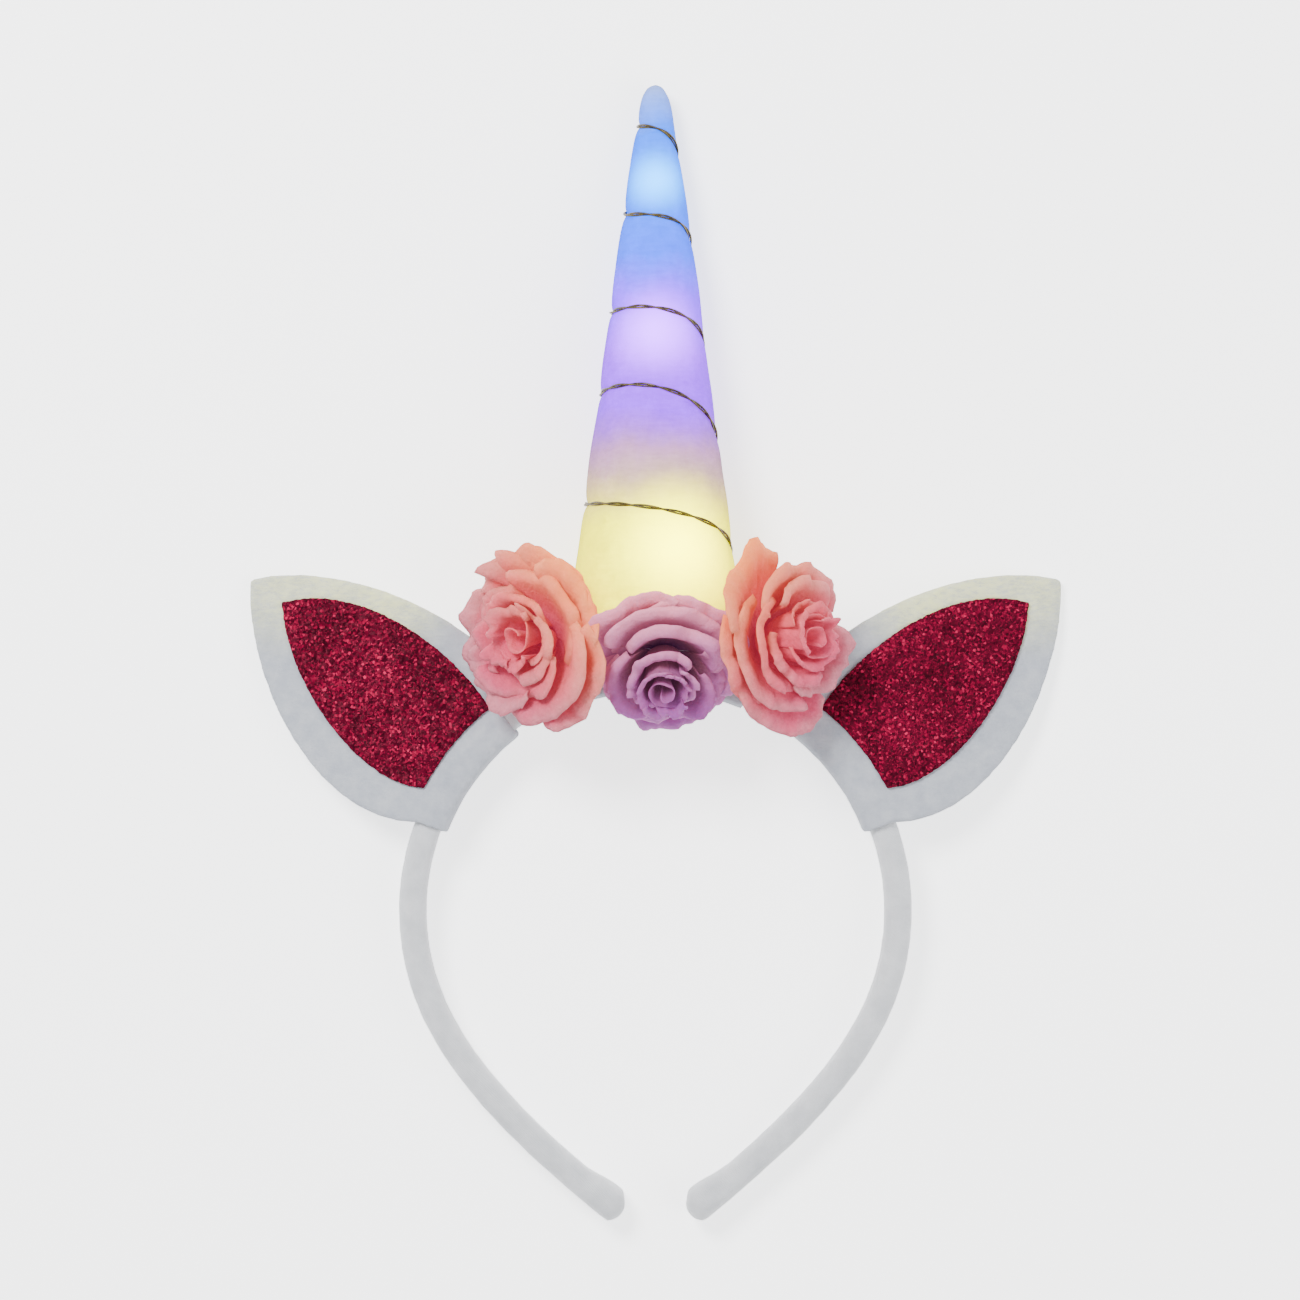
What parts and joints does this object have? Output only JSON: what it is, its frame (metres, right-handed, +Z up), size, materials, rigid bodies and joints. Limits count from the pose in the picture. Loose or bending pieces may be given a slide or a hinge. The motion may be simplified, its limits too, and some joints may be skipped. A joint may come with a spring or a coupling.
{
  "type": "unicorn horn headband",
  "caption": "Costume headband with a stuffed cord-wound horn, felt ears with glitter panels and cloth roses at the horn's base; lies on its back.",
  "frame": {"origin": "middle of the bounding box, on the surface that the headband lies on", "axes": "+Z up from that surface, out of the headband's front; +Y from the band's ends to the horn's tip; +X to the right seen from the front"},
  "size_m": [0.2234, 0.3116, 0.054],
  "materials": {
    "band_fabric": "white satin-knit fabric over a padded core",
    "white_felt": "white felt",
    "crimson_glitter": "crimson glitter fabric with a coarse sparkle",
    "horn_cloth": "thin white stuffed cloth, lit from inside in blue, violet and yellow",
    "gold_cord": "thin twisted gold cord",
    "pink_petal": "pink cloth petals, paler at their edges",
    "lilac_petal": "lilac cloth petals, paler at their edges"
  },
  "bodies": {
    "root": {"band": "band_fabric", "ear_left": "white_felt", "ear_right": "white_felt", "ear_panel_left": "crimson_glitter", "ear_panel_right": "crimson_glitter", "base_pad": "white_felt", "horn": "horn_cloth", "horn_thread": "gold_cord", "rose_left_outer": "pink_petal", "rose_left_middle": "pink_petal", "rose_left_inner": "pink_petal", "rose_left_bud": "pink_petal", "rose_center_outer": "lilac_petal", "rose_center_middle": "lilac_petal", "rose_center_inner": "lilac_petal", "rose_center_bud": "lilac_petal", "rose_right_outer": "pink_petal", "rose_right_middle": "pink_petal", "rose_right_inner": "pink_petal", "rose_right_bud": "pink_petal"}
  },
  "joints": []
}
